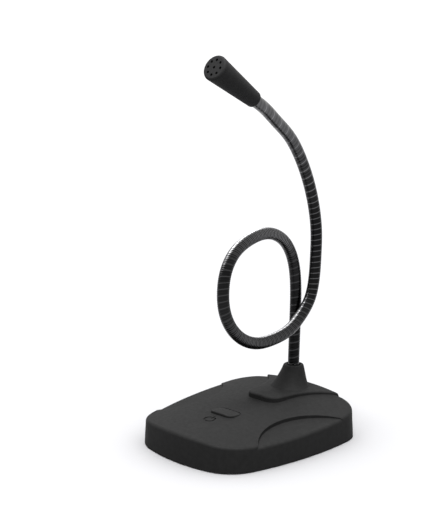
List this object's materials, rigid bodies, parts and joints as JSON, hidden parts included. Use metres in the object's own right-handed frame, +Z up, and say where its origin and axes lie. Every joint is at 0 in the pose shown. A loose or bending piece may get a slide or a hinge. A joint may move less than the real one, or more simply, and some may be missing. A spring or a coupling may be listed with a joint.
{
  "type": "desktop microphone",
  "caption": "Desktop microphone with a weighted base, push button, looped flexible gooseneck, small tapered head and a plug lead.",
  "frame": {"origin": "middle of the base's footprint, on the table", "axes": "+X to the object's right seen from behind it, +Y to its back, +Z up; the button side faces -Y"},
  "size_m": [0.1111, 0.1376, 0.1976],
  "materials": {
    "cover_plastic": "fine satin texture",
    "plate_plastic": "matte",
    "ballast_steel": "plain",
    "foot_rubber": "matte",
    "screw_steel": "plated",
    "board_green": "solder mask",
    "chip_black": "matte",
    "nylon": "natural",
    "neck_steel": "black nickel plated, wound",
    "spring_steel": "wound",
    "capsule_metal": "plain",
    "felt": "felt",
    "lead_rubber": "satin",
    "plug_plastic": "satin",
    "plug_steel": "nickel plated",
    "tongue_plastic": "plain",
    "contact_brass": "gold plated"
  },
  "bodies": {
    "base": {"top_cover": "cover_plastic", "bottom_plate": "plate_plastic", "ballast_plate": "ballast_steel", "rubber_feet": "foot_rubber", "cover_screws": "screw_steel", "circuit_board": "board_green", "board_screws": "screw_steel", "board_chips": "chip_black", "power_switch": "plate_plastic", "socket_bush": "nylon", "neck_retainer": "ballast_steel", "lead_gland": "lead_rubber", "lead_clamp": "plate_plastic", "clamp_screws": "screw_steel", "inner_leads": "lead_rubber", "lead_run": "lead_rubber", "lead_coil": "lead_rubber", "lead_tail": "lead_rubber", "coil_tie": "lead_rubber", "plug_overmould": "plug_plastic", "plug_relief": "lead_rubber", "plug_shell": "plug_steel", "plug_tongue": "tongue_plastic", "plug_contacts": "contact_brass"},
    "button": {"power_button": "cover_plastic", "switch_plunger": "chip_black"},
    "neck_01": {"neck_link_01": "neck_steel", "neck_core_01": "spring_steel", "neck_foot": "neck_steel"},
    "neck_02": {"neck_link_02": "neck_steel", "neck_core_02": "spring_steel"},
    "neck_03": {"neck_link_03": "neck_steel", "neck_core_03": "spring_steel"},
    "neck_04": {"neck_link_04": "neck_steel", "neck_core_04": "spring_steel"},
    "neck_05": {"neck_link_05": "neck_steel", "neck_core_05": "spring_steel"},
    "neck_06": {"neck_link_06": "neck_steel", "neck_core_06": "spring_steel"},
    "neck_07": {"neck_link_07": "neck_steel", "neck_core_07": "spring_steel"},
    "neck_08": {"neck_link_08": "neck_steel", "neck_core_08": "spring_steel"},
    "neck_09": {"neck_link_09": "neck_steel", "neck_core_09": "spring_steel"},
    "neck_10": {"neck_link_10": "neck_steel", "neck_core_10": "spring_steel"},
    "neck_11": {"neck_link_11": "neck_steel", "neck_core_11": "spring_steel"},
    "neck_12": {"neck_link_12": "neck_steel", "mic_housing": "chip_black", "neck_ferrule": "neck_steel", "wind_felt": "felt", "mic_capsule": "capsule_metal", "capsule_gasket": "lead_rubber", "capsule_leads": "lead_rubber"}
  },
  "joints": [
    {"name": "neck_turn", "type": "hinge", "parent": "base", "child": "neck_01", "pos_m": [0, 0.041, 0.02], "axis": [0, 0, 1], "range_deg": [-180, 180]},
    {"name": "neck_bend_01", "type": "hinge", "parent": "neck_01", "child": "neck_02", "pos_m": [0, 0.04157, 0.04999], "axis": [1, 0, 0], "range_deg": [-20, 12], "deforming": ["neck_core_01"]},
    {"name": "neck_bend_02", "type": "hinge", "parent": "neck_02", "child": "neck_03", "pos_m": [0, 0.04147, 0.08196], "axis": [1, 0, 0], "range_deg": [-50, 10], "deforming": ["neck_core_02"]},
    {"name": "neck_bend_03", "type": "hinge", "parent": "neck_03", "child": "neck_04", "pos_m": [0, 0.02252, 0.10756], "axis": [1, 0, 0], "range_deg": [-50, 10], "deforming": ["neck_core_03"]},
    {"name": "neck_bend_04", "type": "hinge", "parent": "neck_04", "child": "neck_05", "pos_m": [0.00049, -0.00917, 0.09905], "axis": [1, 0, 0], "range_deg": [-50, 10], "deforming": ["neck_core_04"]},
    {"name": "neck_bend_05", "type": "hinge", "parent": "neck_05", "child": "neck_06", "pos_m": [0.00296, -0.01739, 0.07142], "axis": [1, 0, 0], "range_deg": [-28, 10], "deforming": ["neck_core_05"]},
    {"name": "neck_bend_06", "type": "hinge", "parent": "neck_06", "child": "neck_07", "pos_m": [0.0065, 0.00284, 0.05209], "axis": [1, 0, 0], "range_deg": [-16, 10], "deforming": ["neck_core_06"]},
    {"name": "neck_bend_07", "type": "hinge", "parent": "neck_07", "child": "neck_08", "pos_m": [0.00793, 0.0334, 0.05872], "axis": [1, 0, 0], "range_deg": [-40, 10], "deforming": ["neck_core_07"]},
    {"name": "neck_bend_08", "type": "hinge", "parent": "neck_08", "child": "neck_09", "pos_m": [0.008, 0.04842, 0.08343], "axis": [1, 0, 0], "range_deg": [-35, 12], "deforming": ["neck_core_08"]},
    {"name": "neck_bend_09", "type": "hinge", "parent": "neck_09", "child": "neck_10", "pos_m": [0.008, 0.04856, 0.11334], "axis": [0, -0.986, -0.167], "range_deg": [-30, 30], "deforming": ["neck_core_09"]},
    {"name": "neck_bend_10", "type": "hinge", "parent": "neck_10", "child": "neck_11", "pos_m": [0.008, 0.03768, 0.14327], "axis": [1, 0, 0], "range_deg": [-30, 20], "deforming": ["neck_core_10"]},
    {"name": "neck_bend_11", "type": "hinge", "parent": "neck_11", "child": "neck_12", "pos_m": [0.00853, 0.01925, 0.16392], "axis": [0, -0.5554, -0.8316], "range_deg": [-35, 35], "deforming": ["neck_core_11"]},
    {"name": "power_press", "type": "slide", "parent": "base", "child": "button", "axis": [0, 0, -1], "range_m": [0, 0.001], "stiffness_N_per_m": 900, "springref_m": -0.0005}
  ]
}
